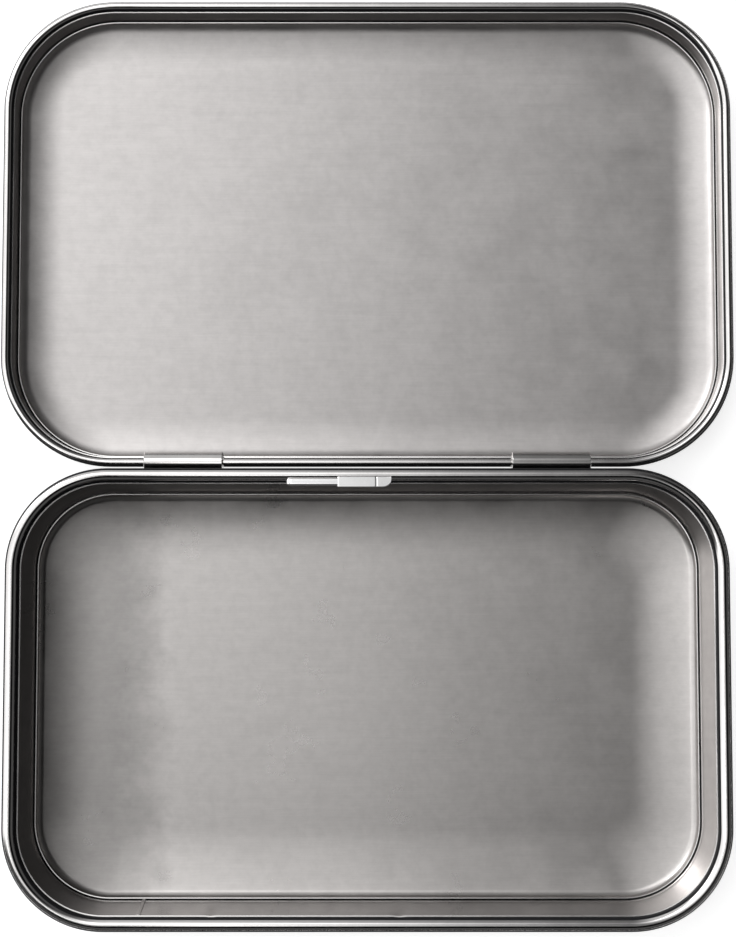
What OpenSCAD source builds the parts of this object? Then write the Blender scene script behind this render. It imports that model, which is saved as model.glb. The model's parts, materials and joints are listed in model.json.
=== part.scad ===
// Colored pencil tin: a flat hinged tin of thin tinplate, shown open and lying flat.
// The deeper base is at -Y and the shallower lid at +Y, with their insides upward.
// The origin is on the table, under the middle of the open tin.

/* [Base] */
// Width of the base over its rolled rim
base_w = 200; // [150:1:260]
// Front to back length of the base over its rolled rim
base_l = 126.5; // [100:0.5:170]
// Height of the base's rim above the table
base_h = 19; // [17:0.5:26]
// Radius of the base's corners at the rim
corner_r = 28; // [22:1:40]
// Diameter of the base's rolled rim
base_bead_d = 3.9; // [3.4:0.1:4.6]
// How far the base's wall leans in, for each millimetre down
base_lean = 0.16; // [0.08:0.01:0.18]

/* [Lid] */
// Diameter of the lid's rolled rim
lid_bead_d = 2.5; // [2.4:0.1:3.2]
// Gap between the lid's skirt and the base's rim, at the lid's own rim
skirt_gap = 0.75; // [0.65:0.05:0.95]
// How far the lid's skirt leans in, for each millimetre down
lid_lean = 0.05; // [0.02:0.005:0.06]
// Room between the closed base rim and the lip of the lid's panel
shut_gap = 0.1; // [0.05:0.05:0.3]

/* [Sheet metal] */
// Thickness of the tinplate
sheet = 0.35; // [0.25:0.05:0.4]
// Width of the step inside the rolled rims
rim_step = 0.2; // [0.1:0.05:0.4]
// Radius of the rounded lower edge of the walls, outside
foot_r = 2.5; // [1.5:0.25:4]
// How far the walls turn in under the pressed panels
flange_w = 7; // [4:0.5:12]
// Radius inside the upturned edge of the base's floor
floor_lip_r = 2.3; // [1.5:0.1:2.4]
// Radius inside the upturned edge of the lid's panel
panel_lip_r = 2.3; // [1.5:0.1:2.4]
// Height of the upturned edge of the base's floor
floor_lip_z = 4; // [3.9:0.1:5]
// Height of the upturned edge of the lid's panel
panel_lip_z = 3.5; // [3.4:0.1:3.8]
// How far the base's floor rises towards its upturned edge
floor_dish = 1.2; // [0.6:0.1:1.3]
// How far the lid's panel rises towards its upturned edge
panel_dish = 0.5; // [0.3:0.1:0.6]
// How wide the rising borders of the pressed panels are
dish_w = 16; // [10:0.5:17]
// Gap between an upturned edge and the wall beside it
lip_gap = 0.2; // [0.1:0.05:0.4]
// Distance of the base's lap seam left of the middle of the front wall
seam_x = 62.5; // [20:0.5:68]
// Width of the lap seam
seam_w = 1; // [0.6:0.1:3]

/* [Hinge] */
// Diameter of the hinge wire
wire_d = 1.7; // [1.2:0.05:1.75]
// Room round the wire in the knuckles' bores, on the radius
wire_gap = 0.08; // [0.05:0.01:0.15]
// How far the hinge wire reaches past the knuckles
wire_over = 4.55; // [2:0.05:6]
// Outside diameter of the knuckles
knuckle_d = 6; // [5:0.1:6.4]
// Length of each knuckle
knuckle_l = 21.9; // [14:0.1:26]
// Distance of each knuckle's middle from the middle of the tin
knuckle_x = 51.5; // [40:0.5:54]
// Room between a knuckle and the notch in the lid's rim
notch_gap = 0.3; // [0.2:0.05:0.5]
// Thickness of the hinge leaves
leaf_t = 0.6; // [0.4:0.05:0.8]
// Height of each leaf's lower edge above the table
leaf_foot_z = 3.6; // [3:0.1:5]

/* [Clip] */
// Distance of the clip's left end from the middle of the tin
clip_left = 22.2; // [18:0.1:30]
// Length of the clip's half round arm
clip_arm_l = 14; // [8:0.1:18]
// Width of the clip's half round arm
clip_arm_w = 2.2; // [1.8:0.1:2.6]
// Length of the clip's flat pad
clip_pad_l = 10.7; // [6:0.1:14]
// Width of the clip's flat pad
clip_pad_w = 3; // [2.4:0.1:3.4]
// Thickness of the clip's flat pad
clip_pad_t = 0.9; // [0.6:0.05:1.1]
// Length of the clip's end piece
clip_end_l = 4.1; // [3:0.1:6]
// Distance of the clip's foot from its left end
clip_foot_x = 1.1; // [0.5:0.1:3]
// Width of the clip's foot along the rim
clip_foot_w = 3.6; // [2:0.1:6]
// Height of the clip's foot down the wall, below the rim's middle
clip_foot_h = 4; // [2:0.5:8]
// How far the clip's top stands above the rim
clip_rise = 0.4; // [0.2:0.1:0.8]
// Room between the clip and the rolled rim under it
clip_gap = 0.08; // [0.05:0.01:0.2]

/* [Hidden] */
$fn = 96;
// Steps in a quarter round of a sheet's bend, and across a panel's rising border
bend_steps = 8;
dish_steps = 6;
// A length well past anything that a cut has to clear
past = 40;

base_bead_r = base_bead_d / 2;
lid_bead_r = lid_bead_d / 2;
base_bead_z = base_h - base_bead_r;

// Inner faces of the two walls where they leave the rolled rims, from the rim's silhouette
base_in = base_bead_d + rim_step;
lid_in = lid_bead_d + rim_step / 2;

// The lid's outline is the base's, let out by the gap and the lid's own rim
lid_out = skirt_gap + lid_bead_d;
lid_w = base_w + 2 * lid_out;
lid_l = base_l + 2 * lid_out;
lid_corner_r = corner_r + lid_out;

// The closed base rim stops against the inner edge of the lid panel's lip, and this
// sets the height of the hinge. The rim's middle is stop_r from that edge, stop_x
// beside it and 2 * hinge_z - stop_z above it, and stop_x shrinks as the hinge rises,
// by the lean of the skirt, so the height comes from a quadratic
stop_r = base_bead_r + shut_gap;
stop_z = base_bead_z + panel_lip_z;
stop_x = lid_out + base_bead_r - lid_in - lip_gap - sheet + lid_lean * panel_lip_z;
stop_a = 4 + pow(lid_lean, 2);
stop_b = 4 * stop_z + 2 * stop_x * lid_lean;
stop_c = pow(stop_z, 2) + pow(stop_x, 2) - pow(stop_r, 2);
hinge_z = (stop_b + sqrt(pow(stop_b, 2) - 4 * stop_a * stop_c)) / (2 * stop_a);
lid_h = hinge_z + lid_bead_r;

// Where the base and lid lie front to back, with the open tin's middle at zero
open_l = base_l + skirt_gap + lid_l;
base_back = base_l - open_l / 2;
base_mid_y = base_back - base_l / 2;
lid_mid_y = open_l / 2 - lid_l / 2;
hinge_y = base_back + skirt_gap + lid_bead_r;

knuckle_r = knuckle_d / 2;
wire_r = wire_d / 2;
wire_l = 2 * (knuckle_x + knuckle_l / 2 + wire_over);

function wall_in(inner, rim_z, lean, z) = -inner - lean * (rim_z - z);
function dish(rise, share) = rise * pow(max(0, 1 - share), 2);
function arc(x, z, r, from, to) =
    [for (i = [0:bend_steps]) let (a = from + (to - from) * i / bend_steps)
        [x + r * cos(a), z + r * sin(a)]];

// Sweeps a section round a rounded rectangle: the section's X is the distance
// outside the outline, and its Y is the height
module around(w, l, r) {
    for (side = [0:3]) {
        across = side % 2 == 0;
        reach = across ? l / 2 : w / 2;
        run = (across ? w : l) - 2 * r;
        rotate([0, 0, 90 * side]) translate([-run / 2, reach, 0])
            rotate([90, 0, 90]) linear_extrude(run) children();
    }
    for (corner = [0:3]) {
        sx = corner == 0 || corner == 3 ? 1 : -1;
        sy = corner < 2 ? 1 : -1;
        translate([sx * (w / 2 - r), sy * (l / 2 - r), 0]) rotate([0, 0, 90 * corner])
            rotate_extrude(angle = 90) translate([r, 0]) children();
    }
}

module rounded_plate(w, l, r, t) {
    linear_extrude(t) {
        square([w - 2 * r, l], center = true);
        square([w, l - 2 * r], center = true);
        for (sx = [-1, 1]) for (sy = [-1, 1])
            translate([sx * (w / 2 - r), sy * (l / 2 - r)]) circle(r);
    }
}

// Section of a wall: a hollow rolled rim, a leaning wall with a rounded foot, and
// a flange that turns in under the pressed panel
module wall_section(bead_r, inner, rim_z, lean) {
    bead_z = rim_z - bead_r;
    foot_x = wall_in(inner, bead_z, lean, foot_r) + sheet;
    end_x = foot_x - foot_r - flange_w;
    difference() {
        union() {
            translate([-bead_r, bead_z]) circle(bead_r);
            polygon(concat(
                [[wall_in(inner, bead_z, lean, bead_z) + sheet, bead_z],
                 [wall_in(inner, bead_z, lean, bead_z), bead_z]],
                [[foot_x - sheet, foot_r]],
                arc(foot_x - foot_r, foot_r, foot_r - sheet, 0, -90),
                [[end_x, sheet], [end_x, 0]],
                arc(foot_x - foot_r, foot_r, foot_r, -90, 0)));
        }
        translate([-bead_r, bead_z]) circle(bead_r - sheet);
    }
}

// A pressed panel: a flat middle, a border that rises in a curve, and an upturned edge.
// The border lies on the inner edge of the wall's flange, or the middle on the table
module pressed_panel(w, l, r, inner, bead_z, lean, lip_r, lip_z, rise) {
    out_x = wall_in(inner, bead_z, lean, lip_z) - lip_gap;
    bend_x = out_x - sheet - lip_r;
    width = min(dish_w, r + bend_x - 1);
    tilt = atan(2 * rise / width);
    border_x = bend_x + lip_r * sin(tilt);
    flange_x = wall_in(inner, bead_z, lean, foot_r) + sheet - foot_r - flange_w;
    under_z = max(0, sheet - dish(rise, (border_x - flange_x) / width));
    bend_z = under_z + sheet + rise + lip_r * cos(tilt);
    end_x = round(10 * (border_x - width)) / 10;
    step = (border_x - end_x) / dish_steps;
    around(w, l, r) polygon(concat(
        [[out_x, lip_z], [out_x - sheet, lip_z]],
        arc(bend_x, bend_z, lip_r, 0, tilt - 90),
        [for (i = [1:dish_steps])
            [border_x - step * i, under_z + sheet + dish(rise, i / dish_steps)]],
        [for (i = [dish_steps:-1:1])
            [border_x - step * i, under_z + dish(rise, i / dish_steps)]],
        arc(bend_x, bend_z, lip_r + sheet, tilt - 90, 0)));
    translate([0, 0, under_z])
        rounded_plate(w + 2 * end_x, l + 2 * end_x, r + end_x, sheet);
}

module base_wall() {
    color([0.62, 0.61, 0.6]) translate([0, base_mid_y, 0]) {
        around(base_w, base_l, corner_r)
            wall_section(base_bead_r, base_in, base_h, base_lean);
        lap_seam();
    }
}

// The end of the wall's strip, lapped over its other end inside the front wall
module lap_seam() {
    top_z = base_bead_z - sheet;
    foot_z = floor_lip_z + sheet;
    top_x = wall_in(base_in, base_bead_z, base_lean, top_z);
    foot_x = wall_in(base_in, base_bead_z, base_lean, foot_z);
    translate([-seam_x - seam_w / 2, -base_l / 2, 0]) mirror([0, 1, 0])
        rotate([90, 0, 90]) linear_extrude(seam_w)
            polygon([[top_x + sheet / 2, top_z], [top_x - sheet, top_z],
                     [foot_x - sheet, foot_z], [foot_x + sheet / 2, foot_z]]);
}

module base_floor() {
    color([0.68, 0.67, 0.66]) translate([0, base_mid_y, 0])
        pressed_panel(base_w, base_l, corner_r, base_in, base_bead_z, base_lean,
                      floor_lip_r, floor_lip_z, floor_dish);
}

module lid_skirt() {
    color([0.66, 0.65, 0.64]) difference() {
        translate([0, lid_mid_y, 0]) around(lid_w, lid_l, lid_corner_r)
            wall_section(lid_bead_r, lid_in, lid_h, lid_lean);
        for (side = [-1, 1]) knuckle_notch(side);
    }
}

module knuckle_notch(side) {
    length = knuckle_l + 2 * notch_gap;
    translate([side * knuckle_x - length / 2, hinge_y, hinge_z]) rotate([0, 90, 0])
        cylinder(r = knuckle_r + notch_gap, h = length);
}

module lid_panel() {
    color([0.72, 0.71, 0.7]) translate([0, lid_mid_y, 0])
        pressed_panel(lid_w, lid_l, lid_corner_r, lid_in, hinge_z, lid_lean,
                      panel_lip_r, panel_lip_z, panel_dish);
}

module hinge_wire() {
    color([0.75, 0.75, 0.76]) translate([-wire_l / 2, hinge_y, hinge_z])
        rotate([0, 90, 0]) cylinder(r = wire_r, h = wire_l);
}

// A strip rolled round the wire, with a strap under it to the base's rear wall
// and a plate down that wall
module hinge_leaf(side) {
    foot_s = wall_in(base_in, base_bead_z, base_lean, leaf_foot_z) + sheet;
    strap_z = hinge_z - knuckle_r;
    strap_s = wall_in(base_in, base_bead_z, base_lean, strap_z + leaf_t) + sheet;
    axis_s = hinge_y - base_back;
    translate([side * knuckle_x - knuckle_l / 2, base_back, 0]) rotate([90, 0, 90])
        linear_extrude(knuckle_l) difference() {
            union() {
                translate([axis_s, hinge_z]) circle(knuckle_r);
                polygon([[axis_s, strap_z], [axis_s, strap_z + leaf_t],
                         [strap_s, strap_z + leaf_t], [foot_s, leaf_foot_z],
                         [foot_s + leaf_t, leaf_foot_z],
                         [strap_s + leaf_t, strap_z]]);
            }
            translate([axis_s, hinge_z]) circle(wire_r + wire_gap);
        }
}

module left_hinge_leaf() {
    color([0.78, 0.78, 0.78]) hinge_leaf(-1);
}

module right_hinge_leaf() {
    color([0.78, 0.78, 0.78]) hinge_leaf(1);
}

// The clip lies along the inner flank of the base's rear rim. Its parts are drawn
// in sections across the rim: X is the distance outside the rim's silhouette
clip_top = base_h + clip_rise;
clip_mid = -base_bead_d - clip_gap;
module along_rim(from, length) {
    translate([from, base_back, 0]) rotate([90, 0, 90]) linear_extrude(length) children();
}

module rim_clearance() {
    translate([-base_bead_r, base_bead_z]) circle(base_bead_r + clip_gap);
}

module arm_section() {
    arm_r = clip_arm_w / 2;
    difference() {
        intersection() {
            translate([clip_mid, clip_top - arm_r]) circle(arm_r);
            translate([clip_mid - arm_r, clip_top - arm_r]) square([clip_arm_w, arm_r]);
        }
        rim_clearance();
    }
}

module clip_arm() {
    color([0.82, 0.82, 0.82]) along_rim(-clip_left, clip_arm_l) arm_section();
}

// A thin tab from the arm's underside down the face of the wall
module clip_foot() {
    arm_under = clip_top - clip_arm_w / 2;
    low_z = base_bead_z - clip_foot_h;
    high_s = wall_in(base_in, base_bead_z, base_lean, base_bead_z);
    low_s = wall_in(base_in, base_bead_z, base_lean, low_z);
    color([0.8, 0.8, 0.8]) along_rim(-clip_left + clip_foot_x, clip_foot_w)
        polygon([[low_s, low_z], [high_s, base_bead_z], [high_s, arm_under],
                 [high_s - leaf_t, arm_under], [high_s - leaf_t, base_bead_z],
                 [low_s - leaf_t, low_z]]);
}

module pad_section(width) {
    difference() {
        translate([clip_mid - width / 2, clip_top - clip_pad_t])
            square([width, clip_pad_t]);
        rim_clearance();
    }
}

module clip_pad() {
    color([0.88, 0.88, 0.88]) along_rim(-clip_left + clip_arm_l, clip_pad_l)
        pad_section(clip_pad_w);
}

// The end piece has a rounded corner on the tin's side
module clip_end() {
    round_r = clip_end_l / 2;
    from = -clip_left + clip_arm_l + clip_pad_l;
    inner_s = clip_mid - clip_pad_w / 2;
    color([0.84, 0.84, 0.84]) difference() {
        along_rim(from, clip_end_l) pad_section(clip_pad_w);
        translate([from + clip_end_l - round_r, base_back + inner_s + round_r, 0])
            difference() {
                translate([0, -round_r - 1, 0]) cube([round_r + 1, round_r + 1, past]);
                cylinder(r = round_r, h = past);
            }
    }
}

base_wall();
base_floor();
lid_skirt();
lid_panel();
hinge_wire();
left_hinge_leaf();
right_hinge_leaf();
clip_foot();
clip_arm();
clip_pad();
clip_end();
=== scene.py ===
"""An open pencil tin of brushed tinplate, lying flat, seen from above on white.

Lengths are in millimetres, apart from those of the materials, the table and the lamp, which
are in metres, as the meshes are. The base is at -Y and the open lid at +Y. Sections are
drawn as (u, z): u is the distance outside the silhouette of the rim, so it is negative
inside the tin, and z is the height.
"""

import json
import math

import bmesh
import bpy
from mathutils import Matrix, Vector


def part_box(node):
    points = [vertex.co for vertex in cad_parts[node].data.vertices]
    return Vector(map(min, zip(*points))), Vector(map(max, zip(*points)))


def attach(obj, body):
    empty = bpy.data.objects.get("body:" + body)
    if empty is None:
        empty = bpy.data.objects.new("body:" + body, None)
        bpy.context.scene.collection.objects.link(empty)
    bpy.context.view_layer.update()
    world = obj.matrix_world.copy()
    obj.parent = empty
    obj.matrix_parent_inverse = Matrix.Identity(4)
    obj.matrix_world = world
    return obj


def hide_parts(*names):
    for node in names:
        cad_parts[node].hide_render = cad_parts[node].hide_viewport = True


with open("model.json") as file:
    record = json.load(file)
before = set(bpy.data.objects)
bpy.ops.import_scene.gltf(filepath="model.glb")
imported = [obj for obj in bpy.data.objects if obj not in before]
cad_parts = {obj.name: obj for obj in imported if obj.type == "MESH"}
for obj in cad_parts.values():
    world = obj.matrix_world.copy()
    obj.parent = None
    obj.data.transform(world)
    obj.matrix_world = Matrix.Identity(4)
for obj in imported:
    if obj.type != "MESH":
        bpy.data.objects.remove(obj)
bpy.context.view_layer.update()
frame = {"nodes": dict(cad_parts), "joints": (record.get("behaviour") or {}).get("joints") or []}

MM = 0.001
TINY = 1e-6

# The tinplate
SHEET = 0.35
FOOT_R = 2.5
# Where the inner side of the foot's bend begins, in degrees
FOOT_START = -15
FLANGE_W = 7.0
FLANGE_EDGE = 0.08

# The curl at a rim, by the angle in its section: 0 is outwards and 90 is up
CURL_END = -140
# Under this angle its outer flank has the outside's black lacquer, made almost without shine: a
# painted dark reflection along the rim's outer edge
FLANK_END = 50
# Beyond this one its inner flank and the groove have the same dark lacquer: painted shade in the
# groove
RIM_END = 140

# The ledge inside a curl: how far it lies under the curl's middle, how far it falls
# towards the inside, and its soft edge there
LEDGE_DROP = 0.6
LEDGE_FALL = 0.06
LEDGE_EDGE_W = 0.03
LEDGE_EDGE_H = 0.08
# The groove between the two, and the slants of its sides
GROOVE_DEPTH = 0.1
GROOVE_OUTER_SLANT = 0.03
GROOVE_INNER_SLANT = 0.02
# The wall's outside turns in to the curl from below the ledge to above it
NECK_BELOW = 0.4
NECK_ABOVE = 0.25

# A panel's upturned edge: its gap to the wall, its straight part over the bend, its soft
# corners, how far its top falls inwards, and how far from its highest point it is bright
LIP_GAP = 0.3
LIP_STRAIGHT = 0.15
LIP_EDGE = 0.05
LIP_TILT = 0.04
LIP_TOP = 0.06
# How far the corners of a panel's border have shrunk at its inner end
BORDER_SHRINK = 0.5

# The base: its rim, the widths of its groove and ledge, how far inside the silhouette its
# wall begins, and how much it leans
BASE_CORNER_R = 28.0
BASE_BEAD_R = 1.95
BASE_GROOVE = 0.08
BASE_LEDGE = 0.42
BASE_IN = 4.1
BASE_LEAN = 0.16
# Its floor: the height of the upturned edge, the width of the bend under it, how far and
# how wide the floor rises to it, and the underside's height
FLOOR = {"lip_z": 4.0, "bend_w": 2.6, "rise": 1.75, "border": 16.5, "low": 0.0}

# The same of the lid and its panel
LID_CORNER_R = 31.25
LID_BEAD_R = 1.25
LID_GROOVE = 0.05
LID_LEDGE = 0.33
LID_IN = 2.6
LID_LEAN = 0.05
PANEL = {"lip_z": 3.5, "bend_w": 4.8, "rise": 1.0, "border": 9.0, "low": 0.17}

# Small dents in the base's front wall, just under the rim: x, width and depth
DENTS = [(-42.7, 3.2, 0.22), (8.8, 4.0, 0.24)]
DENT_Z = 15.9
DENT_H = 0.9
# Heights at which the wall is drawn more finely for them
DENT_STOPS = (16.3, 16.0, 15.7, 15.4, 15.1)
# Only the wall's points this far inside the silhouette and this far over the ledge or
# lower are pressed
DENT_IN = 3.5
DENT_EDGE = 0.05

# The lap seam in the same wall: how far it stands out of the wall and is sunk into it, how
# far under the ledge it begins, and a height at which it is drawn
SEAM_X = -62.5
SEAM_W = 1.0
SEAM_T = 0.3
SEAM_ROOT = 0.1
SEAM_TOP_GAP = 0.3
SEAM_MID_Z = 10.0
SEAM_EDGE = 0.08

# The hinge
LEAF_T = 0.6
BORE_R = 0.93
TURN_GAP = 0.02
NOTCH_GAP = 0.3
LEAF_FOOT_Z = 3.6
STRAP_BEND_R = 0.9
PLATE_GAP = 0.01
LEAF_EDGE = 0.14

# The clip: its arm, whose section is round at a power of 1 and squarer below it, and whose
# tip is given by distances from its end and the sizes there
CLIP_GAP = 0.08
ARM_W = 2.2
ARM_POWER = 0.5
ARM_TIP = [(0.0, 0.5), (0.08, 0.68), (0.25, 0.85), (0.5, 0.95), (0.8, 1.0), (1.5, 1.0)]
# Its pad and its end piece, with their soft ends in the same way
PAD_W = 3.0
PAD_T = 0.9
PAD_EDGE_R = 0.28
PAD_ENDS = [(0.0, 0.9), (0.08, 0.97), (0.3, 1.0), (0.6, 1.0)]
# Where the end piece is drawn along its round corner, as shares of its length
END_CURVE = [0.5, 0.62, 0.74, 0.84, 0.92, 0.97, 1.0]
# The tab that carries it
TAB_T = 0.5
TAB_GAP = 0.02
TAB_EDGE = 0.1

# How finely the sheets are drawn
CORNER_STEPS = 28
SIDE_STEP = 4.0
FRONT_STEP = 1.0
DISH_STEP = 1.5
CURL_STEP = 8
BEND_STEPS = 18
TURN_STEPS = 40
ARM_STEPS = 20
PAD_STEP = 30
CLIP_STEP = 0.2
SMOOTH_ANGLE = math.radians(38)
BEVEL_ANGLE = math.radians(50)
# A wall faces a side squarely when its direction has at least this share of it
SQUARELY = 0.99

# The metal: the heights of its grain, of its drawing lines and of its slight unevenness,
# and how strongly the first two and its scratches show
GRAIN_H = 0.00004
LINES_H = 0.00003
WAVE_H = 0.00018
GRAIN_LEVEL = 0.11
LINES_LEVEL = 0.12
SCRATCH_DEPTH = 0.08
# Noise lies mostly between these values
NOISE_LOW = 0.3
NOISE_HIGH = 0.7
# A painted shade over the floor's left part, darker where the left wall shades it: where along X
# it begins to end and where it has ended, how uneven that edge is, and the tones from one to the
# other
LEFT_SHADE_START = -0.071
LEFT_SHADE_END = -0.056
LEFT_SHADE_UNEVEN = 0.003
LEFT_SHADE_TONES = [(0.0, 0.62), (0.5, 0.76), (1.0, 1.0)]
LACQUER = (0.022, 0.022, 0.024)

# The table and the lamp
TABLE_SIZE = 4.0
TABLE_Z = -0.0002
TABLE_GREY = 0.8
TABLE_GLOW = 0.8
LAMP_PLACE = (-0.75, 0.6, 0.7)
LAMP_SIZE = (0.4, 0.4)
LAMP_POWER = 2.6

# How bright the studio is by the X of a direction, from -1 to 1: bright at the left and
# dark at the right. Directions to the front, which most of the base mirrors, have one list,
# with a dark gap at the left, and those to the back, which the lid mirrors, have the other
STUDIO_X_FRONT = [(-1.0, 0.7), (-0.52, 1.0), (-0.4, 1.7), (-0.27, 1.6), (-0.24, 0.3),
                  (-0.21, 0.0), (-0.14, 0.0), (-0.12, 0.9), (-0.1, 1.5), (-0.06, 0.95),
                  (0.0, 0.52), (0.08, 0.26), (0.16, 0.1), (0.34, 0.0), (1.0, 0.0)]
STUDIO_X_BACK = [(-1.0, 0.7), (-0.5, 0.9), (-0.2, 1.0), (-0.09, 0.9), (0.0, 0.56),
                 (0.1, 0.18), (0.2, 0.03), (0.34, 0.0), (1.0, 0.0)]
# The lists change over within this much of a Y of 0
STUDIO_TURN = 0.02
# How bright it is by the Y of a direction: dark in front and brightest behind
STUDIO_Y = [(-1.0, 0.0), (-0.32, 0.0), (-0.24, 0.25), (-0.18, 0.95), (-0.1, 0.95),
            (-0.03, 0.82), (0.02, 0.86), (0.27, 0.8), (0.36, 1.2), (0.6, 1.4),
            (0.68, 0.4), (1.0, 0.33)]
# What is added by the Z, so that the object isn't black from its other sides
STUDIO_LOW = [(0.0, 0.0), (0.12, 0.0), (0.3, 0.045), (0.6, 0.05), (0.72, 0.03), (0.8, 0.0)]
STUDIO_LEVEL = 1.6

# The camera stands over the base, a little nearer the front, and leans towards the lid by
# some degrees. Its focal length and its shift to the side are in pixels of the photograph
CAMERA_H = 480.0
CAMERA_Y = -33.5
CAMERA_TILT = 3.68
CAMERA_F = 1675.0
CAMERA_SIDE = 0.7
PHOTO_H = 937


# Outlines and sections

def node_box(name):
    low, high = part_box(name)
    return low / MM, high / MM


def even_stops(half, step):
    """Stops from +half to -half, about a step apart."""
    count = max(2, round(2 * half / step))
    return [half - 2 * half * i / count for i in range(count + 1)]


class Outline:
    """The rounded rectangle that a wall's rim silhouette follows, with its stations."""

    def __init__(self, node, corner_r, front_step=SIDE_STEP, rear_stops=()):
        low, high = node_box(node)
        self.half_w = (high.x - low.x) / 2
        self.half_l = (high.y - low.y) / 2
        self.mid_y = (high.y + low.y) / 2
        self.rim_z = high.z
        self.corner_r = corner_r
        flat_w = self.half_w - corner_r
        flat_l = self.half_l - corner_r
        rear = even_stops(flat_w, SIDE_STEP)
        rear = sorted(set(rear) | set(rear_stops), reverse=True)
        side = even_stops(flat_l, SIDE_STEP)
        front = even_stops(flat_w, front_step)
        # Each run is a list of shares of the half flat length, so that it can shrink
        self.runs = [
            [x / flat_w for x in rear],
            [y / flat_l for y in side],
            [x / flat_w for x in reversed(front)],
            [y / flat_l for y in reversed(side)],
        ]

    def stations(self, inset=0.0, corner_r=None):
        """Points and outward directions round the outline, moved in by inset."""
        half_w, half_l = self.half_w - inset, self.half_l - inset
        r = self.corner_r - inset if corner_r is None else corner_r
        flat_w, flat_l = half_w - r, half_l - r
        out = []

        def corner(cx, cy, start):
            for step in range(1, CORNER_STEPS):
                a = math.radians(start + 90 * step / CORNER_STEPS)
                n = Vector((math.cos(a), math.sin(a)))
                out.append((Vector((cx, cy)) + n * r, n))

        for share in self.runs[0]:
            out.append((Vector((share * flat_w, half_l)), Vector((0, 1))))
        corner(-flat_w, flat_l, 90)
        for share in self.runs[1]:
            out.append((Vector((-half_w, share * flat_l)), Vector((-1, 0))))
        corner(-flat_w, -flat_l, 180)
        for share in self.runs[2]:
            out.append((Vector((share * flat_w, -half_l)), Vector((0, -1))))
        corner(flat_w, -flat_l, 270)
        for share in self.runs[3]:
            out.append((Vector((half_w, share * flat_l)), Vector((1, 0))))
        corner(flat_w, flat_l, 0)
        return [(p + Vector((0, self.mid_y)), n) for p, n in out]


def arc(cu, cz, r, start, end, step=CURL_STEP):
    """Points of a round stretch of a section, from a start to an end in degrees."""
    count = max(2, round(abs(end - start) / step))
    angles = [math.radians(start + (end - start) * i / count) for i in range(count + 1)]
    return [(cu + r * math.cos(a), cz + r * math.sin(a)) for a in angles]


def wall_section(rim_z, bead_r, wall_in, lean, groove, ledge):
    """The closed section of a wall with its curled rim, and the zone of each edge."""
    bead_z = rim_z - bead_r
    ledge_z = bead_z - LEDGE_DROP
    groove_z = ledge_z - GROOVE_DEPTH
    foot_in = -wall_in - lean * (bead_z - FOOT_R)
    foot_mid = foot_in + SHEET - FOOT_R
    flange_end = foot_mid - FLANGE_W
    neck = -2 * bead_r
    parts = [
        ("flank", arc(-bead_r, bead_z, bead_r, CURL_END, FLANK_END)[:-1]),
        ("rim", arc(-bead_r, bead_z, bead_r, FLANK_END, RIM_END)[:-1]),
        ("groove", arc(-bead_r, bead_z, bead_r, RIM_END, 180)[:-1]),
        ("groove", [(neck, bead_z), (neck - GROOVE_OUTER_SLANT, groove_z)]),
        ("groove", [(neck - groove, groove_z)]),
        ("ledge", [(neck - groove - GROOVE_INNER_SLANT, ledge_z)]),
        ("ledge", [(neck - ledge, ledge_z - LEDGE_FALL)]),
        ("inside", [(neck - ledge - LEDGE_EDGE_W, ledge_z - LEDGE_FALL - LEDGE_EDGE_H)]),
        ("inside", [(foot_in, FOOT_R)]),
        ("inside", arc(foot_mid, FOOT_R, FOOT_R - SHEET, FOOT_START, -90, step=15)),
        ("inside", [(flange_end + FLANGE_EDGE, SHEET), (flange_end, SHEET / 2)]),
        ("outside", [(flange_end + FLANGE_EDGE, 0)]),
        ("outside", arc(foot_mid, FOOT_R, FOOT_R, -90, 0, step=11)),
        ("outside", [(neck - ledge + SHEET, ledge_z - NECK_BELOW)]),
        ("outside", [(neck + SHEET, ledge_z + NECK_ABOVE)]),
        ("outside", arc(-bead_r, bead_z, bead_r - SHEET, 180, CURL_END)),
    ]
    points = [p for _, run in parts for p in run]
    zones = [zone for zone, run in parts for _ in run]
    return points, zones


def border_z(panel, d):
    """Height of a panel's upper face at a distance from the bend of its edge."""
    return panel["low"] + SHEET + panel["rise"] * max(0.0, 1 - d / panel["border"]) ** 2


def lip_section(rim_z, bead_r, wall_in, lean, panel):
    """The open section of a pressed panel, from its underside over the lip to its top."""
    lip_z = panel["lip_z"]
    out_u = -wall_in - lean * (rim_z - bead_r - lip_z) - LIP_GAP
    in_u = out_u - SHEET
    tilt = math.atan(2 * panel["rise"] / panel["border"])
    # The bend is part of an ellipse that meets the border at the border's tilt
    wide = panel["bend_w"]
    high = lip_z - LIP_STRAIGHT - border_z(panel, 0)
    start = math.degrees(math.atan2(-high, wide * math.tan(tilt)))
    mid_u = in_u - wide
    bend_z = border_z(panel, 0) - high * math.sin(math.radians(start))
    angles = [math.radians(start * i / BEND_STEPS) for i in range(BEND_STEPS + 1)]
    top = [(mid_u + wide * math.cos(a), bend_z + high * math.sin(a)) for a in angles]
    under = []
    for i, (u, z) in enumerate(top):
        before, after = top[max(i - 1, 0)], top[min(i + 1, BEND_STEPS)]
        along = Vector((after[0] - before[0], after[1] - before[1])).normalized()
        under.append((min(out_u, u - along.y * SHEET), z + along.x * SHEET))
    edge = [(out_u, lip_z - LIP_EDGE), (out_u - LIP_EDGE, lip_z),
            (in_u + LIP_EDGE, lip_z - LIP_TILT)]
    return under[::-1] + edge + top


def is_lip_top(section, j):
    highest = max(z for _, z in section)
    return min(section[j][1], section[j + 1][1]) > highest - LIP_TOP


def with_stop(points, zones, z):
    """Adds a point to the section wherever one of its edges crosses the height z."""
    new_points, new_zones = [], []
    for j, (u, h) in enumerate(points):
        new_points.append((u, h))
        new_zones.append(zones[j])
        u2, h2 = points[(j + 1) % len(points)]
        if (h - z) * (h2 - z) < 0:
            t = (z - h) / (h2 - h)
            new_points.append((u + (u2 - u) * t, z))
            new_zones.append(zones[j])
    return new_points, new_zones


# Meshes

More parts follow.
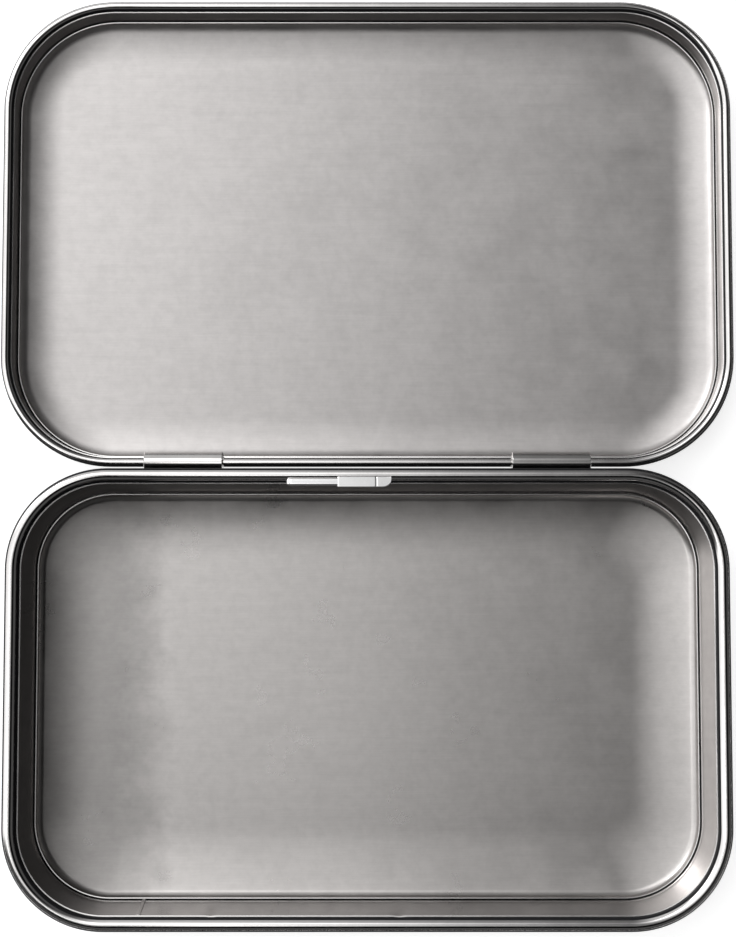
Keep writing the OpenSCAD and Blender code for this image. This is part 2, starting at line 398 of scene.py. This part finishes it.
def finish_mesh(name, bm, body, nodes):
    """Makes the object, with smooth sheets and crisp edges, and seats it in the frame."""
    bmesh.ops.recalc_face_normals(bm, faces=bm.faces)
    bmesh.ops.scale(bm, vec=(MM, MM, MM), verts=bm.verts)
    mesh = bpy.data.meshes.new(name)
    bm.to_mesh(mesh)
    bm.free()
    mesh.shade_smooth()
    mesh.set_sharp_from_angle(angle=SMOOTH_ANGLE)
    piece = bpy.data.objects.new(name, mesh)
    bpy.context.scene.collection.objects.link(piece)
    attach(piece, body)
    if nodes:
        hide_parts(*nodes)
    return piece


def dress(piece, *materials):
    for material in materials:
        piece.data.materials.append(material)


def soften(piece, width):
    bevel = piece.modifiers.new("edges", "BEVEL")
    bevel.width = width * MM
    bevel.segments = 2
    bevel.limit_method = "ANGLE"
    bevel.angle_limit = BEVEL_ANGLE


def sweep_wall(outline, points, zones, nudge):
    """Sweeps a closed section round an outline, with each point nudged into place."""
    bm = bmesh.new()
    rows = []
    for place, out in outline.stations():
        row = []
        for u, z in points:
            v = Vector((place.x + out.x * u, place.y + out.y * u, z))
            row.append(bm.verts.new(nudge(v, u, out)))
        rows.append(row)
    for i, row in enumerate(rows):
        after = rows[(i + 1) % len(rows)]
        for j, zone in enumerate(zones):
            k = (j + 1) % len(points)
            bm.faces.new((row[j], row[k], after[k], after[j])).material_index = WALL_ZONES[zone]
    return bm


def pressed_panel(node, outline, section, panel, body, metal):
    """A pressed panel: its upturned edge swept round, a dished border and a flat middle."""
    bm = bmesh.new()
    top_face, lip_face, under_face = range(3)
    rows = []
    for place, out in outline.stations():
        rows.append([bm.verts.new((place.x + out.x * u, place.y + out.y * u, z))
                     for u, z in section])
    total = len(rows)
    for i, row in enumerate(rows):
        after = rows[(i + 1) % total]
        for j in range(len(section) - 1):
            face = bm.faces.new((row[j], row[j + 1], after[j + 1], after[j]))
            if is_lip_top(section, j):
                face.material_index = lip_face
            elif j < len(section) // 2:
                face.material_index = under_face
    start = -section[-1][0]
    top = [row[-1] for row in rows]
    under = [row[0] for row in rows]
    steps = round(panel["border"] / DISH_STEP)
    for step in range(1, steps + 1):
        d = panel["border"] * step / steps
        z = border_z(panel, d)
        new_top, new_under = [], []
        corner_r = (outline.corner_r - start) * (1 - BORDER_SHRINK * step / steps)
        for place, _ in outline.stations(start + d, corner_r):
            new_top.append(bm.verts.new((place.x, place.y, z)))
            new_under.append(bm.verts.new((place.x, place.y, z - SHEET)))
        for old, new, index in ((top, new_top, top_face), (under, new_under, under_face)):
            for i in range(total):
                n = (i + 1) % total
                bm.faces.new((old[i], old[n], new[n], new[i])).material_index = index
        top, under = new_top, new_under
    bm.faces.new(top)
    bm.faces.new(under).material_index = under_face
    piece = finish_mesh(node + "_sheet", bm, body, [node])
    dress(piece, metal, edge_metal, outside_lacquer)


def skin(bm, rows):
    """Closes rows of points into a bar with two flat ends."""
    count = len(rows[0])
    for a, b in zip(rows, rows[1:]):
        for j in range(count):
            k = (j + 1) % count
            bm.faces.new((a[j], a[k], b[k], b[j]))
    bm.faces.new(rows[0])
    bm.faces.new(rows[-1])


def middle(section):
    count = len(section)
    return sum(u for u, _ in section) / count, sum(z for _, z in section) / count


def slab(section, x_stops, sizes):
    """A bar along X: the section is drawn at each stop, shrunk there about its middle."""
    bm = bmesh.new()
    mid_u, mid_z = middle(section)
    rows = []
    for x, size in zip(x_stops, sizes):
        rows.append([bm.verts.new((x, mid_u + (u - mid_u) * size, mid_z + (z - mid_z) * size))
                     for u, z in section])
    skin(bm, rows)
    return bm


# Materials

def new_material(name):
    material = bpy.data.materials.new(name)
    material.use_nodes = True
    tree = material.node_tree
    shader = tree.nodes["Principled BSDF"]
    shader.inputs["Metallic"].default_value = 1.0
    return material, tree, shader


def add(tree, kind, **settings):
    """Adds a node, with settings that are its own or its inputs' values."""
    node = tree.nodes.new(kind)
    for key, value in settings.items():
        if hasattr(node, key):
            setattr(node, key, value)
        else:
            node.inputs[key].default_value = value
    return node


def noise(tree, place, scale, detail=4.0, rough=0.6, stretch=(1, 1, 1), turn=0.0):
    """Noise in the piece's own space, with scale in cells a metre."""
    mapping = add(tree, "ShaderNodeMapping")
    mapping.inputs["Scale"].default_value = stretch
    mapping.inputs["Rotation"].default_value = (0, 0, turn)
    tree.links.new(place.outputs["Object"], mapping.inputs["Vector"])
    node = add(tree, "ShaderNodeTexNoise", Scale=scale, Detail=detail, Roughness=rough)
    tree.links.new(mapping.outputs["Vector"], node.inputs["Vector"])
    return node.outputs["Fac"]


def ramp(tree, value, stops):
    """Turns a value into a grey by stops of place and grey."""
    node = tree.nodes.new("ShaderNodeValToRGB")
    elements = node.color_ramp.elements
    while len(elements) < len(stops):
        elements.new(0.5)
    for element, (at, grey) in zip(elements, stops):
        element.position = at
        element.color = (grey, grey, grey, 1)
    tree.links.new(value, node.inputs["Fac"])
    return node.outputs["Color"]


def scaled(tree, value, from_low, from_high, to_low=0.0, to_high=1.0):
    """Moves a value from one range to another."""
    node = add(tree, "ShaderNodeMapRange")
    node.inputs["From Min"].default_value = from_low
    node.inputs["From Max"].default_value = from_high
    node.inputs["To Min"].default_value = to_low
    node.inputs["To Max"].default_value = to_high
    tree.links.new(value, node.inputs["Value"])
    return node.outputs["Result"]


def spread(tree, value, low, high):
    """Noise stretched to a range."""
    return scaled(tree, value, NOISE_LOW, NOISE_HIGH, low, high)


def combine(tree, a, b, how="MULTIPLY", factor=1.0):
    node = tree.nodes.new("ShaderNodeMix")
    node.data_type = "RGBA"
    node.blend_type = how
    node.inputs["Factor"].default_value = factor
    tree.links.new(a, node.inputs["A"])
    tree.links.new(b, node.inputs["B"])
    return node.outputs["Result"]


def maths(tree, how, a, b):
    node = add(tree, "ShaderNodeMath", operation=how)
    tree.links.new(a, node.inputs[0])
    tree.links.new(b, node.inputs[1])
    return node.outputs[0]


def tinted(tree, colour, tone):
    base = tree.nodes.new("ShaderNodeRGB")
    base.outputs[0].default_value = (*colour, 1)
    return combine(tree, base.outputs[0], tone)


def brushed_sheet(name, colour, roughness, seed, grain=1.0, with_left_shade=False):
    """Tinplate with cloudy handling marks, a faint grain along X and short fine scratches."""
    material, tree, shader = new_material(name)
    place = tree.nodes.new("ShaderNodeTexCoord")
    clouds = noise(tree, place, 26 + seed, 5, 0.62)
    blots = noise(tree, place, 95 + seed, 4, 0.6)
    specks = noise(tree, place, 330 + seed, 3, 0.7)
    streaks = noise(tree, place, 40 + seed, 5, 0.75, stretch=(0.6, 16, 16))
    fine = noise(tree, place, 170 + seed, 4, 0.8, stretch=(0.7, 18, 18))
    scratch_a = noise(tree, place, 60 + seed, 2, 0.5, stretch=(1, 30, 1), turn=0.5)
    scratch_b = noise(tree, place, 70 + seed, 2, 0.5, stretch=(1, 26, 1), turn=-0.9)
    tone = ramp(tree, clouds, [(0.3, 0.9), (0.5, 0.97), (0.7, 1.0)])
    tone = combine(tree, tone, ramp(tree, blots, [(0.32, 0.93), (0.62, 1.0)]))
    tone = combine(tree, tone, ramp(tree, specks, [(0.35, 0.94), (0.6, 1.0)]))
    tone = combine(tree, tone, ramp(tree, streaks, [(0.3, 1 - 0.06 * grain), (0.7, 1.0)]))
    tone = combine(tree, tone, ramp(tree, fine, [(0.3, 1 - 0.07 * grain), (0.7, 1.0)]))
    tone = tinted(tree, colour, tone)
    # Where asked, a painted shade darkens the left end
    if with_left_shade:
        tone = combine(tree, tone, painted_left_shade(tree, place, blots))
    tree.links.new(tone, shader.inputs["Base Color"])
    rough = maths(tree, "ADD", spread(tree, clouds, roughness - 0.03, roughness + 0.03),
                  spread(tree, blots, -0.025, 0.035))
    tree.links.new(rough, shader.inputs["Roughness"])
    scratches = combine(tree, ramp(tree, scratch_a, [(0.7, 0.0), (0.74, 1.0)]),
                        ramp(tree, scratch_b, [(0.71, 0.0), (0.75, 1.0)]), "LIGHTEN")
    height = combine(tree, fine, streaks, "ADD", 0.5)
    height = combine(tree, height, scratches, "SUBTRACT", SCRATCH_DEPTH)
    bump = add(tree, "ShaderNodeBump", Strength=GRAIN_LEVEL * grain, Distance=GRAIN_H)
    tree.links.new(height, bump.inputs["Height"])
    wave = add(tree, "ShaderNodeBump", Strength=1.0, Distance=WAVE_H * grain)
    tree.links.new(noise(tree, place, 13 + seed, 1, 0.4), wave.inputs["Height"])
    tree.links.new(bump.outputs["Normal"], wave.inputs["Normal"])
    tree.links.new(wave.outputs["Normal"], shader.inputs["Normal"])
    return material


def painted_left_shade(tree, place, blots):
    """A painted shade over the left end: a darker tone with an uneven edge."""
    parts = tree.nodes.new("ShaderNodeSeparateXYZ")
    tree.links.new(place.outputs["Object"], parts.inputs[0])
    along = maths(tree, "ADD", parts.outputs["X"],
                  spread(tree, blots, -LEFT_SHADE_UNEVEN, LEFT_SHADE_UNEVEN))
    return ramp(tree, scaled(tree, along, LEFT_SHADE_START, LEFT_SHADE_END), LEFT_SHADE_TONES)


def polished_sheet(name, colour, roughness, seed, wear=0.1):
    """Rolled or handled metal: smoother, with faint drawing lines and dull patches."""
    material, tree, shader = new_material(name)
    place = tree.nodes.new("ShaderNodeTexCoord")
    patches = noise(tree, place, 55 + seed, 4, 0.6)
    lines = noise(tree, place, 420 + seed, 3, 0.7)
    tone = ramp(tree, patches, [(0.3, 1 - wear), (0.62, 1.0)])
    tone = combine(tree, tone, ramp(tree, lines, [(0.3, 1 - wear / 2), (0.7, 1.0)]))
    tree.links.new(tinted(tree, colour, tone), shader.inputs["Base Color"])
    tree.links.new(spread(tree, patches, roughness - 0.03, roughness + 0.05),
                   shader.inputs["Roughness"])
    bump = add(tree, "ShaderNodeBump", Strength=LINES_LEVEL, Distance=LINES_H)
    tree.links.new(lines, bump.inputs["Height"])
    tree.links.new(bump.outputs["Normal"], shader.inputs["Normal"])
    return material


def lacquer(name, roughness, shine):
    """The dark finish of the outside, with the patches and lines of the metal under it; with
    little shine it also paints shade and a dark reflection on a rim.
    """
    material = polished_sheet(name, LACQUER, roughness, 7)
    shader = material.node_tree.nodes["Principled BSDF"]
    shader.inputs["Metallic"].default_value = 0.0
    shader.inputs["Specular IOR Level"].default_value = shine
    return material


floor_metal = brushed_sheet("floor_metal", (0.69, 0.664, 0.648), 0.3, 0, with_left_shade=True)
panel_metal = brushed_sheet("panel_metal", (0.71, 0.684, 0.673), 0.36, 3)
wall_metal = brushed_sheet("wall_metal", (0.7, 0.676, 0.667), 0.16, 5, 0.4)
outside_lacquer = lacquer("outside_lacquer", 0.36, 0.5)
# A dark lacquer almost without shine for a rim's outer flank and groove: partly the outside's
# finish, partly painted shade and a painted dark reflection
painted_dark_lacquer = lacquer("painted_dark_lacquer", 0.42, 0.06)
rim_metal = polished_sheet("rim_metal", (0.87, 0.852, 0.845), 0.12, 0)
edge_metal = polished_sheet("edge_metal", (0.85, 0.835, 0.825), 0.2, 9)
hinge_metal = polished_sheet("hinge_metal", (0.8, 0.785, 0.775), 0.08, 2)
clip_metal = polished_sheet("clip_metal", (0.92, 0.92, 0.92), 0.1, 4, 0.04)

# The zones of a wall's section, and the materials that their numbers stand for
# Zone 4, the flank and the groove, has the dark lacquer: painted shade and a painted dark
# reflection
WALL_ZONES = {"rim": 0, "ledge": 1, "inside": 2, "outside": 3, "groove": 4, "flank": 4}
WALL_MATERIALS = [rim_metal, edge_metal, wall_metal, outside_lacquer, painted_dark_lacquer]


# The base

base_outline = Outline("base_wall", BASE_CORNER_R, FRONT_STEP)
base_front = base_outline.mid_y - base_outline.half_l
base_back = base_outline.mid_y + base_outline.half_l
base_bead_z = base_outline.rim_z - BASE_BEAD_R
base_ledge_z = base_bead_z - LEDGE_DROP


def dent_front(v, u, out):
    """Presses the dents into the front wall."""
    if out.y > -SQUARELY or u > -DENT_IN or v.z > base_ledge_z + DENT_EDGE or v.z < FOOT_R:
        return v
    for x, width, depth in DENTS:
        across = (v.x - x) / (width / 2)
        up = (v.z - DENT_Z) / DENT_H
        if abs(across) < 1 and abs(up) < 1:
            press = depth * (1 - across ** 2) ** 2 * (1 - up ** 2)
            return v + Vector((0, -press, 0))
    return v


def build_base_wall():
    points, zones = wall_section(base_outline.rim_z, BASE_BEAD_R, BASE_IN, BASE_LEAN,
                                 BASE_GROOVE, BASE_LEDGE)
    for z in DENT_STOPS:
        points, zones = with_stop(points, zones, z)
    bm = sweep_wall(base_outline, points, zones, dent_front)
    piece = finish_mesh("base_wall_sheet", bm, "base", ["base_wall"])
    dress(piece, *WALL_MATERIALS)


def build_base_floor():
    section = lip_section(base_outline.rim_z, BASE_BEAD_R, BASE_IN, BASE_LEAN, FLOOR)
    pressed_panel("base_floor", base_outline, section, FLOOR, "base", floor_metal)


def build_lap_seam():
    """The end of the wall's strip, lapped over its other end inside the front wall."""
    def wall(z):
        return base_front + BASE_IN + BASE_LEAN * (base_bead_z - z)

    stops = [base_ledge_z - SEAM_TOP_GAP, SEAM_MID_Z, FLOOR["lip_z"] + SHEET]
    section = [(wall(z) + SEAM_T, z) for z in stops]
    section += [(wall(z) - SEAM_ROOT, z) for z in reversed(stops)]
    bm = slab(section, [SEAM_X - SEAM_W / 2, SEAM_X + SEAM_W / 2], [1, 1])
    piece = finish_mesh("base_wall_seam", bm, "base", [])
    dress(piece, wall_metal)
    soften(piece, SEAM_EDGE)


# The lid

hinge_y = frame["joints"][0]["pos_m"][1] / MM
hinge_z = frame["joints"][0]["pos_m"][2] / MM
knuckle_spans = [(node_box(leaf)[0].x, node_box(leaf)[1].x)
                 for leaf in ("left_hinge_leaf", "right_hinge_leaf")]
knuckle_r = node_box("left_hinge_leaf")[1].z - hinge_z
notch_spans = [(a - NOTCH_GAP, b + NOTCH_GAP) for a, b in knuckle_spans]
notch_stops = [x for span in notch_spans for x in span]


class LidOutline(Outline):
    """The lid's hinge side faces the base, so its outline starts there, turned round."""

    def stations(self, inset=0.0, corner_r=None):
        turned = super().stations(inset, corner_r)
        return [(Vector((-p.x, 2 * self.mid_y - p.y)), -n) for p, n in turned]


lid_outline = LidOutline("lid_skirt", LID_CORNER_R, rear_stops=[-x for x in notch_stops])


def build_lid_skirt():
    points, zones = wall_section(lid_outline.rim_z, LID_BEAD_R, LID_IN, LID_LEAN,
                                 LID_GROOVE, LID_LEDGE)
    notch_z = hinge_z - math.sqrt((knuckle_r + NOTCH_GAP) ** 2 - LID_BEAD_R ** 2)
    points, zones = with_stop(points, zones, notch_z)
    bm = sweep_lid(points, zones, notch_z)
    piece = finish_mesh("lid_skirt_sheet", bm, "lid", ["lid_skirt"])
    dress(piece, *WALL_MATERIALS)


def sweep_lid(points, zones, notch_z):
    """Sweeps the lid's wall, leaving out its upper part at the knuckles."""
    bm = bmesh.new()
    stations = lid_outline.stations()
    rows = [[bm.verts.new((p.x + n.x * u, p.y + n.y * u, z)) for u, z in points]
            for p, n in stations]
    count = len(points)
    above = [z > notch_z + TINY for _, z in points]
    gone = [above[j] or above[(j + 1) % count] for j in range(count)]
    first, last = notch_edge(gone)

    def in_notch(i):
        (p, n), (q, m) = stations[i], stations[(i + 1) % len(rows)]
        mid_x = (p.x + q.x) / 2
        on_hinge_side = n.y < -SQUARELY and m.y < -SQUARELY
        return on_hinge_side and any(a < mid_x < b for a, b in notch_spans)

    for i, row in enumerate(rows):
        after = rows[(i + 1) % len(rows)]
        cut = in_notch(i)
        for j in range(count):
            if cut and gone[j]:
                continue
            k = (j + 1) % count
            face = bm.faces.new((row[j], row[k], after[k], after[j]))
            face.material_index = WALL_ZONES[zones[j]]
        if cut:
            face = bm.faces.new((row[first], row[last], after[last], after[first]))
            face.material_index = WALL_ZONES["ledge"]
        if cut != in_notch(i - 1):
            # The section's upper part is closed where a notch begins or ends
            length = (last - first) % count + 1
            face = bm.faces.new([row[(first + j) % count] for j in range(length)])
            face.material_index = WALL_ZONES["ledge"]
    used = {v for face in bm.faces for v in face.verts}
    bmesh.ops.delete(bm, geom=[v for v in bm.verts if v not in used], context="VERTS")
    return bm


def notch_edge(gone):
    """The two points of the section between which a notch is cut off."""
    count = len(gone)
    first = next(j for j in range(count) if gone[j] and not gone[j - 1])
    last = next(j for j in range(count) if gone[j] and not gone[(j + 1) % count])
    return first, (last + 1) % count


def build_lid_panel():
    section = lip_section(lid_outline.rim_z, LID_BEAD_R, LID_IN, LID_LEAN, PANEL)
    pressed_panel("lid_panel", lid_outline, section, PANEL, "lid", panel_metal)


# The hinge

def offset_strip(path, thickness):
    """The closed outline of a strip of even thickness that follows a path."""
    left, right = [], []
    for i, (s, z) in enumerate(path):
        before, after = path[max(i - 1, 0)], path[min(i + 1, len(path) - 1)]
        along = Vector((after[0] - before[0], after[1] - before[1])).normalized()
        side = Vector((-along.y, along.x)) * thickness / 2
        left.append((s + side.x, z + side.y))
        right.append((s - side.x, z - side.y))
    return left + right[::-1]


def leaf_path():
    """The middle of the leaf's strip: rolled round the wire, under it and down the wall."""
    roll = knuckle_r - LEAF_T / 2
    first = BORE_R + LEAF_T / 2
    pitch = LEAF_T + TURN_GAP
    # The last turn is round, and the ones inside it wind down to the wire
    turns = (roll - first) / pitch + 1
    steps = round(turns * TURN_STEPS)
    path = []
    for i in range(steps + 1):
        left = turns * (1 - i / steps)
        a = math.radians(-90 + 360 * left)
        r = roll - pitch * max(0.0, left - 1)
        path.append((hinge_y + r * math.cos(a), hinge_z + r * math.sin(a)))

    def plate_y(z):
        wall_y = base_back - BASE_IN - BASE_LEAN * (base_bead_z - z) + SHEET
        return wall_y + LEAF_T / 2 + PLATE_GAP

    bend_z = hinge_z - roll - STRAP_BEND_R
    lean = math.degrees(math.atan(BASE_LEAN))
    bend_y = plate_y(bend_z) + STRAP_BEND_R
    path += arc(bend_y, bend_z, STRAP_BEND_R, 90, 180 - lean, step=12)
    path.append((plate_y(LEAF_FOOT_Z), LEAF_FOOT_Z))
    return path


def build_hinge_leaf(node):
    """The leaf as one wound strip, whose two ends are closed bit by bit."""
    low, high = node_box(node)
    outline = offset_strip(leaf_path(), LEAF_T)
    bm = bmesh.new()
    rows = [[bm.verts.new((x, s, z)) for s, z in outline] for x in (low.x, high.x)]
    count = len(outline)
    for j in range(count):
        k = (j + 1) % count
        bm.faces.new((rows[0][j], rows[0][k], rows[1][k], rows[1][j]))
    for row in rows:
        for j in range(count // 2 - 1):
            bm.faces.new((row[j], row[j + 1], row[count - 2 - j], row[count - 1 - j]))
    piece = finish_mesh(node + "_strip", bm, "base", [node])
    dress(piece, hinge_metal)
    soften(piece, LEAF_EDGE)


def dress_wire():
    """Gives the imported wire, which stays as it is, the metal of the hinge."""
    for slot in frame["nodes"]["hinge_wire"].material_slots:
        slot.material = hinge_metal


# The clip

clip_mid = -2 * BASE_BEAD_R - CLIP_GAP


def off_the_rim(section):
    """Keeps a clip's section clear of the rim that it lies on."""
    bead = Vector((-BASE_BEAD_R, base_bead_z))
    clear = BASE_BEAD_R + CLIP_GAP
    out = []
    for point in section:
        away = Vector(point) - bead
        if away.length < clear:
            away = away.normalized() * clear
        out.append(tuple(bead + away))
    return out


def dense(section):
    """Adds points along a closed section's long edges."""
    out = []
    for j, (u, z) in enumerate(section):
        u2, z2 = section[(j + 1) % len(section)]
        parts = max(1, round(math.hypot(u2 - u, z2 - z) / CLIP_STEP))
        out += [(u + (u2 - u) * i / parts, z + (z2 - z) * i / parts) for i in range(parts)]
    return out


def on_the_rim(section):
    """A clip's section, seated at the base's rear rim, in the frame's Y and Z."""
    return [(base_back + u, z) for u, z in off_the_rim(dense(section))]


def build_clip_arm():
    low, high = node_box("clip_arm")
    r = ARM_W / 2
    angles = [math.radians(180 * i / ARM_STEPS) for i in range(ARM_STEPS + 1)]
    section = [(clip_mid + r * math.copysign(abs(math.cos(a)) ** ARM_POWER, math.cos(a)),
                high.z - r + r * math.sin(a) ** ARM_POWER) for a in angles]
    stops = [low.x + x for x, _ in ARM_TIP] + [high.x]
    sizes = [size for _, size in ARM_TIP] + [1.0]
    bm = slab(on_the_rim(section), stops, sizes)
    piece = finish_mesh("clip_arm_bar", bm, "base", ["clip_arm"])
    dress(piece, clip_metal)


def pad_section(top):
    """The rounded box that the pad and the end piece share."""
    r = PAD_EDGE_R
    left, right = clip_mid - PAD_W / 2 + r, clip_mid + PAD_W / 2 - r
    bottom, top = top - PAD_T + r, top - r
    corners = ((left, bottom, 180), (right, bottom, 270), (right, top, 0), (left, top, 90))
    section = []
    for u, z, start in corners:
        section += arc(u, z, r, start, start + 90, step=PAD_STEP)
    return on_the_rim(section)


def build_clip_pad():
    low, high = node_box("clip_pad")
    stops = [low.x + x for x, _ in PAD_ENDS] + [high.x - x for x, _ in reversed(PAD_ENDS)]
    sizes = [size for _, size in PAD_ENDS]
    bm = slab(pad_section(high.z), stops, sizes + sizes[::-1])
    piece = finish_mesh("clip_pad_plate", bm, "base", ["clip_pad"])
    dress(piece, clip_metal)


def build_clip_end():
    """The end piece, whose right end is pulled in to a round corner."""
    low, high = node_box("clip_end")
    section = pad_section(high.z)
    mid_u, mid_z = middle(section)
    length = high.x - low.x
    inner = min(u for u, _ in section)
    round_r = length / 2
    bm = bmesh.new()
    rows = []
    for x, size in PAD_ENDS + [(length * share, 1.0) for share in END_CURVE]:
        past = max(0.0, x - (length - round_r)) / round_r
        pull = round_r * (1 - math.sqrt(max(0.0, 1 - past ** 2)))
        row = []
        for u, z in section:
            y = mid_u + (u - mid_u) * size + pull * (1 - (u - inner) / PAD_W)
            row.append(bm.verts.new((low.x + x, y, mid_z + (z - mid_z) * size)))
        rows.append(row)
    skin(bm, rows)
    piece = finish_mesh("clip_end_plate", bm, "base", ["clip_end"])
    dress(piece, clip_metal)


def build_clip_foot():
    low, high = node_box("clip_foot")

    def wall(z):
        return base_back - BASE_IN - TAB_GAP - BASE_LEAN * max(0.0, base_bead_z - z)

    stops = [low.z, low.z + TAB_T, base_bead_z, high.z - TAB_GAP]
    section = [(wall(z), z) for z in stops] + [(wall(z) - TAB_T, z) for z in reversed(stops)]
    bm = slab(section, [low.x, high.x], [1, 1])
    piece = finish_mesh("clip_foot_tab", bm, "base", ["clip_foot"])
    dress(piece, clip_metal)
    soften(piece, TAB_EDGE)


# The room

def build_table():
    """A white table, which glows where it is seen directly or in metal."""
    bpy.ops.mesh.primitive_plane_add(size=TABLE_SIZE, location=(0, 0, TABLE_Z))
    table = bpy.context.object
    table.name = "table"
    material = bpy.data.materials.new("white_table")
    material.use_nodes = True
    tree = material.node_tree
    shader = tree.nodes["Principled BSDF"]
    shader.inputs["Base Color"].default_value = (TABLE_GREY, TABLE_GREY, TABLE_GREY, 1)
    shader.inputs["Roughness"].default_value = 0.9
    shader.inputs["Specular IOR Level"].default_value = 0.0
    shader.inputs["Emission Color"].default_value = (1, 1, 1, 1)
    level = add(tree, "ShaderNodeMath", operation="MULTIPLY")
    tree.links.new(seen_directly(tree), level.inputs[0])
    level.inputs[1].default_value = TABLE_GLOW
    tree.links.new(level.outputs[0], shader.inputs["Emission Strength"])
    dress(table, material)


def seen_directly(tree):
    """One for rays from the camera and for those seen in metal or through glass."""
    path = tree.nodes.new("ShaderNodeLightPath")
    total = path.outputs["Is Camera Ray"]
    for name in ("Is Glossy Ray", "Is Transmission Ray"):
        total = maths(tree, "MAXIMUM", total, path.outputs[name])
    return total


def studio_light(tree):
    """The studio that the metal mirrors, by the direction."""
    place = tree.nodes.new("ShaderNodeTexCoord")
    parts = tree.nodes.new("ShaderNodeSeparateXYZ")
    tree.links.new(place.outputs["Generated"], parts.inputs[0])

    def side(axis, levels):
        share = scaled(tree, parts.outputs[axis], -1.0, 1.0)
        return ramp(tree, share, [((at + 1) / 2, level) for at, level in levels])

    across = combine(tree, side("X", STUDIO_X_FRONT), side("X", STUDIO_X_BACK), "MIX")
    to_back = side("Y", [(-1, 0), (-STUDIO_TURN, 0), (STUDIO_TURN, 1), (1, 1)])
    tree.links.new(to_back, across.node.inputs["Factor"])
    glow = combine(tree, across, side("Y", STUDIO_Y))
    glow = combine(tree, glow, ramp(tree, parts.outputs["Z"], STUDIO_LOW), "ADD")
    studio = add(tree, "ShaderNodeVectorMath", operation="SCALE")
    studio.inputs["Scale"].default_value = STUDIO_LEVEL
    tree.links.new(glow, studio.inputs[0])
    return studio.outputs[0]


def build_world():
    """White where it is seen directly, and the studio for all other rays."""
    world = bpy.data.worlds.new("studio")
    bpy.context.scene.world = world
    world.use_nodes = True
    tree = world.node_tree
    path = tree.nodes.new("ShaderNodeLightPath")
    mix = add(tree, "ShaderNodeMix", data_type="RGBA")
    mix.inputs["B"].default_value = (1, 1, 1, 1)
    tree.links.new(path.outputs["Is Camera Ray"], mix.inputs["Factor"])
    tree.links.new(studio_light(tree), mix.inputs["A"])
    tree.links.new(mix.outputs["Result"], tree.nodes["Background"].inputs["Color"])


def build_lamp():
    """A soft lamp over the tin, at the left and behind it, which gives the shadow."""
    data = bpy.data.lights.new("key_lamp", "AREA")
    data.shape = "RECTANGLE"
    data.size, data.size_y = LAMP_SIZE
    data.energy = LAMP_POWER
    lamp = bpy.data.objects.new("key_lamp", data)
    lamp.location = LAMP_PLACE
    lamp.rotation_euler = (-Vector(LAMP_PLACE)).to_track_quat("-Z", "Y").to_euler()
    bpy.context.scene.collection.objects.link(lamp)


def build_camera():
    data = bpy.data.cameras.new("camera")
    data.sensor_fit = "VERTICAL"
    data.sensor_height = 36.0
    data.lens = CAMERA_F * data.sensor_height / PHOTO_H
    data.shift_x = CAMERA_SIDE / PHOTO_H
    camera = bpy.data.objects.new("camera", data)
    camera.location = (0, CAMERA_Y * MM, CAMERA_H * MM)
    camera.rotation_euler = (math.radians(CAMERA_TILT), 0, 0)
    bpy.context.scene.collection.objects.link(camera)
    bpy.context.scene.camera = camera


build_base_wall()
build_base_floor()
build_lap_seam()
build_lid_skirt()
build_lid_panel()
build_hinge_leaf("left_hinge_leaf")
build_hinge_leaf("right_hinge_leaf")
dress_wire()
build_clip_arm()
build_clip_pad()
build_clip_end()
build_clip_foot()

build_table()
build_world()
build_lamp()
build_camera()

bpy.context.scene.view_settings.view_transform = "Standard"
